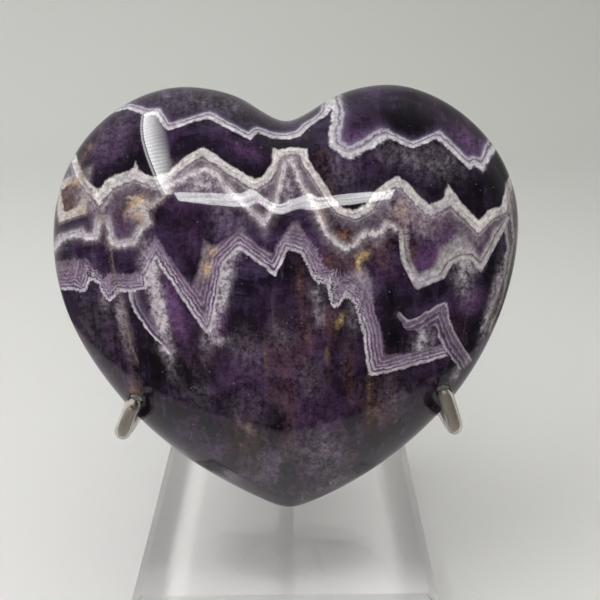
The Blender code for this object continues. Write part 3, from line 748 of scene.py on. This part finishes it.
def cast_acrylic(settings):
    """Cast acrylic, clear, with a polished top and sides, hazy chamfers and a matt underside."""
    material, tree = new_material("cast acrylic")
    spot = add_node(tree, "SeparateXYZ", inputs={
        "Vector": add_node(tree, "TexCoord").outputs["Object"]}).outputs
    side = maths(tree, "MAXIMUM", maths(tree, "ABSOLUTE", spot["X"]), maths(tree, "ABSOLUTE", spot["Y"]))
    reach = plus(tree, side, spot["Z"])
    haze = ranged(tree, reach, CHAMFER_SUM - 0.15 * MM, CHAMFER_SUM - 0.05 * MM, POLISH, CHAMFER_HAZE)
    rough = maths(tree, "MAXIMUM", haze, ranged(tree, spot["Z"], 0.1 * MM, 0.3 * MM, UNDERSIDE_HAZE, POLISH))
    shader = add_node(tree, "BsdfPrincipled", inputs={
        "Base Color": tuple(settings.acrylic), "Roughness": rough,
        "IOR": ACRYLIC_IOR, "Transmission Weight": 1.0})
    return finish_material(material, shader)


def drawn_steel_wire(settings):
    """Stainless wire, drawn and left satin: grey, with faint lines and a soft highlight."""
    material, tree = new_material("drawn stainless wire")
    place = add_node(tree, "TexCoord").outputs["Object"]
    # Draw lines are a few hundredths of a millimetre wide; 0.4 mm is the finest that shows
    rough = ranged(tree, noise(tree, place, 2500.0, 2.0), 0.0, 1.0, 0.2, 0.4)
    shader = add_node(tree, "BsdfPrincipled", inputs={
        "Base Color": tuple(settings.steel), "Metallic": 1.0, "Roughness": rough})
    return finish_material(material, shader)


def vinyl_tubing(settings):
    """Soft clear vinyl tube: glassy, and smeared with handling."""
    material, tree = new_material("clear vinyl tubing")
    place = add_node(tree, "TexCoord").outputs["Object"]
    # Smears about 1.5 mm long
    rough = ranged(tree, noise(tree, place, 650.0), 0.3, 0.7, 0.03, 0.18)
    shader = add_node(tree, "BsdfPrincipled", inputs={
        "Base Color": tuple(settings.vinyl), "Roughness": rough,
        "IOR": VINYL_IOR, "Transmission Weight": 1.0})
    return finish_material(material, shader)


class AMETHYST_OT_heart(bpy.types.Operator):
    """Rounds off the stone and paints its bands"""
    bl_idname = "amethyst.heart"
    bl_label = "Heart"

    def execute(self, context):
        heart = smooth_copy("amethyst_heart", "heart_stone", 2)
        mark_growth(heart.data)
        heart.data.materials.append(polished_amethyst(context.scene.amethyst_heart))
        return {"FINISHED"}


class AMETHYST_OT_block(bpy.types.Operator):
    """Rounds the edges of the clear block and polishes it"""
    bl_idname = "amethyst.block"
    bl_label = "Block"

    def execute(self, context):
        settings = context.scene.amethyst_stand
        block = smooth_copy("acrylic_base", "clear_block", 0)
        edit_mesh(block, bpy.ops.mesh.dissolve_limited, angle_limit=math.radians(3))
        edges = block.modifiers.new("polished edges", "BEVEL")
        edges.width = settings.edge_round
        edges.segments = 2
        edges.limit_method = "ANGLE"
        edges.angle_limit = math.radians(25)
        bpy.ops.object.modifier_apply(modifier=edges.name)
        bpy.ops.object.shade_smooth_by_angle(angle=math.radians(20))
        block.data.materials.append(cast_acrylic(settings))
        return {"FINISHED"}


class AMETHYST_OT_wires(bpy.types.Operator):
    """Rounds the post and the four wires and gives them drawn steel"""
    bl_idname = "amethyst.wires"
    bl_label = "Post and wires"

    def execute(self, context):
        steel = drawn_steel_wire(context.scene.amethyst_stand)
        for node in ("left_arm", "right_arm", "left_back_arm", "right_back_arm"):
            wire = smooth_copy(node, node + "_wire", 2)
            wire.data.materials.append(steel)
        post = smooth_copy("post", "turned_post", 0)
        select_only(post)
        bpy.ops.object.shade_smooth_by_angle(angle=math.radians(30))
        post.data.materials.append(steel)
        return {"FINISHED"}


class AMETHYST_OT_sleeves(bpy.types.Operator):
    """Rounds the four tube sleeves and gives them clear vinyl"""
    bl_idname = "amethyst.sleeves"
    bl_label = "Sleeves"

    def execute(self, context):
        vinyl = vinyl_tubing(context.scene.amethyst_stand)
        for node in ("left_sleeve", "right_sleeve", "left_back_sleeve", "right_back_sleeve"):
            sleeve = smooth_copy(node, node + "_tube", 2, crease=60)
            sleeve.data.materials.append(vinyl)
        return {"FINISHED"}


def mirrored_ray(tree):
    """1 for what a polished face mirrors, 0 for what shows directly, through clear parts or as soft light."""
    path = add_node(tree, "LightPath")
    straight = maths(tree, "LESS_THAN", path.outputs["Transmission Depth"], 0.5)
    return times(tree, path.outputs["Is Glossy Ray"], straight)


def lamp(name, place, aim, size, power):
    """A soft rectangular lamp that faces a point, with its long side level."""
    light = bpy.data.lights.new(name, "AREA")
    light.shape = "RECTANGLE"
    light.size, light.size_y = size
    light.energy = power
    obj = bpy.data.objects.new(name, light)
    obj.location = place
    obj.rotation_euler = (Vector(aim) - Vector(place)).to_track_quat("-Z", "Y").to_euler()
    obj.visible_camera = False
    bpy.context.scene.collection.objects.link(obj)
    return obj


def diffuser(name, sections, strength, ribs, streaks, fade):
    """A glowing strip of ribbed diffuser, bent in its own level plane, seen only by what mirrors or is lit.

    sections are pairs of edge places; ribs cross the strip, streaks run along it, and fade is its
    brightness at its two edges.
    """
    edges = np.array(sections, float)
    spans = np.hypot(*np.diff(edges.mean(axis=1), axis=0).T)
    along = np.concatenate(([0.0], np.cumsum(spans))) / spans.sum()
    steps = np.linspace(0, 1, DIFFUSER_STEPS)
    sides = [[np.interp(steps, along, edges[:, k, axis]) for axis in (0, 1)] for k in (0, 1)]
    mesh = bpy.data.meshes.new(name)
    count = len(steps)
    mesh.from_pydata(
        [(x, y, DIFFUSER_HEIGHT) for side in sides for x, y in zip(*side)], [],
        [(k, k + 1, count + k + 1, count + k) for k in range(count - 1)])
    store(mesh, "strip_place", (np.tile(steps, 2), np.repeat((0.0, 1.0), count)))
    material, tree = new_material(name + " glow")
    run, across, _ = three(tree, "strip_place")
    wave = maths(tree, "SINE", times(tree, run, ribs * math.tau))
    lines = along_front(tree, across, run, 4.0, 11.0, 2.0, 0.55)
    streak = ranged(tree, lines, 0.35, 0.65, 1.0 - streaks, 1.0)
    glow = times(tree, ranged(tree, wave, -1.0, 1.0, 0.7 if ribs else 1.0, 1.0), streak)
    glow = times(tree, glow, ranged(tree, across, 0.0, 1.0, *fade))
    emission = add_node(tree, "Emission", inputs={"Strength": times(tree, glow, strength)})
    finish_material(material, emission)
    mesh.materials.append(material)
    strip = bpy.data.objects.new(name, mesh)
    strip.visible_camera = False
    bpy.context.scene.collection.objects.link(strip)


def pale_paper(settings):
    """Matt white sheet under and behind the stand, with painted shade up the wall and to the right; what a
    mirror sees of it ends near the block's front in a painted dark reflection, and through the block it shows
    a painted glow and a painted shadow of the heart.
    """
    material, tree = new_material("pale paper sheet")
    place = add_node(tree, "TexCoord").outputs["Object"]
    # Painted shade on the paper: lighter at the front left, greyer up the wall and to the right, where less
    # of the lamps' light falls
    slope = add_node(tree, "VectorMath", {"operation": "DOT_PRODUCT"}, {0: place, 1: (0.55, 0.75, 0.6)})
    painted_shade = ranged(tree, slope.outputs["Value"], -0.15, 0.75)
    paper = tint_over(tree, tuple(settings.floor), painted_shade, tuple(settings.wall))
    shader = add_node(tree, "BsdfPrincipled", inputs={
        "Base Color": paper, "Roughness": 0.55, "Specular IOR Level": 0.3})
    # Painted reflection: a mirror sees the paper in front and to the sides as a dark emission instead of the
    # lit paper, partly from about 6 cm out and fully past 18 cm
    reach = length(tree, place)
    spot = add_node(tree, "SeparateXYZ", inputs={"Vector": place}).outputs
    far = maths(tree, "MAXIMUM", ranged(tree, reach, 0.15, 0.18), ranged(tree, reach, 0.06, 0.15, 0.0, 0.45))
    share = times(tree, far, ranged(tree, spot["Y"], 0.25, 0.1))
    room = add_node(tree, "Emission", inputs={"Color": linear("#343436"), "Strength": 1.0})
    mix = add_node(tree, "MixShader", inputs={
        "Fac": times(tree, share, mirrored_ray(tree)), 1: shader.outputs[0], 2: room.outputs[0]})
    # Painted glow, brighter towards the block's front edge, is seen only through the block
    streaks = colour_ramp(tree, spot["X"], [
        (at, (bright, bright * 0.98, bright * 0.97, 1.0)) for at, bright in PAINTED_GLOW_STREAKS])
    painted_front_glow = ranged(tree, spot["Y"], -0.016, -0.028, 0.0, 0.16)
    light = add_node(tree, "VectorMath", {"operation": "ADD"}, {0: streaks["Color"], 1: painted_front_glow})
    # A painted shadow of the heart's tip dims the painted glow in an oval about 50 mm wide
    oval = length(tree, mapped(tree, place, (42.0, 85.0, 0.0), move=(-0.06, 0.95, 0.0)))
    painted_heart_shadow = ranged(tree, oval, 0.55, 1.05, 0.3, 1.0)
    way_out = maths(tree, "MAXIMUM", maths(tree, "ABSOLUTE", spot["X"]), maths(tree, "ABSOLUTE", spot["Y"]))
    under = maths(tree, "LESS_THAN", way_out, BLOCK_HALF)
    through = maths(tree, "GREATER_THAN", add_node(tree, "LightPath").outputs["Transmission Depth"], 0.5)
    glow = add_node(tree, "Emission", inputs={
        "Color": light.outputs[0], "Strength": times(tree, times(tree, under, through), painted_heart_shadow)})
    both = add_node(tree, "AddShader", inputs={0: mix.outputs[0], 1: glow.outputs[0]})
    return finish_material(material, both)


class AMETHYST_OT_stage(bpy.types.Operator):
    """Sets up the sheet, the lamps, the room's light and the camera"""
    bl_idname = "amethyst.stage"
    bl_label = "Stage"

    def execute(self, context):
        settings = context.scene.amethyst_stage
        scene = context.scene
        bpy.ops.object.select_all(action="DESELECT")
        bpy.ops.mesh.primitive_grid_add(
            x_subdivisions=4, y_subdivisions=160, size=SHEET_SIDE, location=(0, 0, SHEET_DROP))
        sheet = context.active_object
        sheet.name = "paper_sheet"
        for vertex in sheet.data.vertices:
            past = vertex.co.y - CURVE_START
            turn = min(max(past / CURVE_RADIUS, 0), math.pi / 2)
            rise = max(past - CURVE_RADIUS * math.pi / 2, 0)
            if past > 0:
                vertex.co.y = CURVE_START + CURVE_RADIUS * math.sin(turn)
                vertex.co.z = CURVE_RADIUS * (1 - math.cos(turn)) + rise
        bpy.ops.object.shade_smooth()
        sheet.data.materials.append(pale_paper(settings))

        k = settings.lamps
        bar = [((x, near), (x, far)) for x, near, far in FRONT_BAR]
        edge, panel = (
            [((left, y), (right, y)) for y, left, right in strip] for strip in (LEFT_EDGE, LEFT_PANEL))
        diffuser("front_bar", bar, 17.5 * k, 0, 0.75, (1.0, 1.0))
        diffuser("left_edge", edge, 8.0 * k, 0, 0.2, (1.0, 1.0))
        diffuser("left_panel", panel, 21.0 * k, 26, 0.1, (1.0, 0.0))
        for name, place, size, power in (
                ("overhead", (0.0, 0.0, 1.1), (1.2, 1.0), 4.0),
                ("left_fill", (-1.0, -0.2, 0.5), (0.6, 0.8), 2.8)):
            lamp(name, place, (0, 0, 0.05), size, power * k).visible_glossy = False

        world = bpy.data.worlds.new("room")
        world.use_nodes = True
        tree = world.node_tree
        tree.nodes.clear()
        way = add_node(tree, "SeparateXYZ", inputs={
            "Vector": add_node(tree, "TexCoord").outputs["Generated"]})
        # Soft light comes from all round, and a mirror sees a room that is dark in front of the stand
        ahead = ranged(tree, way.outputs["Y"], -0.3, 0.65)
        room = tint_over(tree, linear("#2b2b2d"), ahead, linear("#cfcfcd"))
        colour = tint_over(tree, linear("#cacac8"), mirrored_ray(tree), room)
        background = add_node(tree, "Background", inputs={"Color": colour, "Strength": 1.0})
        add_node(tree, "OutputWorld", inputs={"Surface": background.outputs[0]})
        scene.world = world

        camera = bpy.data.cameras.new("camera")
        camera.lens = settings.lens
        camera.sensor_width = SENSOR_WIDTH
        camera.clip_start = 0.01
        obj = bpy.data.objects.new("camera", camera)
        turn = Matrix.Rotation(math.pi / 2 - settings.pitch, 4, "X") @ Matrix.Rotation(-settings.roll, 4, "Z")
        obj.matrix_world = Matrix.Translation(settings.eye) @ turn
        scene.collection.objects.link(obj)
        scene.camera = obj
        scene.view_settings.view_transform = "Standard"
        return {"FINISHED"}


class AMETHYST_PT_panel(bpy.types.Panel):
    bl_idname = "AMETHYST_PT_panel"
    bl_label = "Amethyst heart"
    bl_space_type = "VIEW_3D"
    bl_region_type = "UI"
    bl_category = "Amethyst"

    def draw(self, context):
        layout = self.layout
        scene = context.scene
        for title, group, operators in (
                ("Stone", scene.amethyst_heart, ("amethyst.heart",)),
                ("Stand", scene.amethyst_stand, ("amethyst.block", "amethyst.wires", "amethyst.sleeves")),
                ("Stage", scene.amethyst_stage, ("amethyst.stage",))):
            box = layout.box()
            box.label(text=title)
            for name in group.__annotations__:
                box.prop(group, name)
            for operator in operators:
                box.operator(operator)


CLASSES = (
    AmethystSettings, StandSettings, StageSettings, AMETHYST_OT_heart, AMETHYST_OT_block,
    AMETHYST_OT_wires, AMETHYST_OT_sleeves, AMETHYST_OT_stage, AMETHYST_PT_panel,
)


def register():
    for cls in CLASSES:
        bpy.utils.register_class(cls)
    bpy.types.Scene.amethyst_heart = PointerProperty(type=AmethystSettings)
    bpy.types.Scene.amethyst_stand = PointerProperty(type=StandSettings)
    bpy.types.Scene.amethyst_stage = PointerProperty(type=StageSettings)


def unregister():
    del bpy.types.Scene.amethyst_stage
    del bpy.types.Scene.amethyst_stand
    del bpy.types.Scene.amethyst_heart
    for cls in reversed(CLASSES):
        bpy.utils.unregister_class(cls)


def main():
    register()
    bpy.ops.amethyst.stage()
    bpy.ops.amethyst.heart()
    bpy.ops.amethyst.block()
    bpy.ops.amethyst.wires()
    bpy.ops.amethyst.sleeves()


if __name__ == "__main__":
    main()
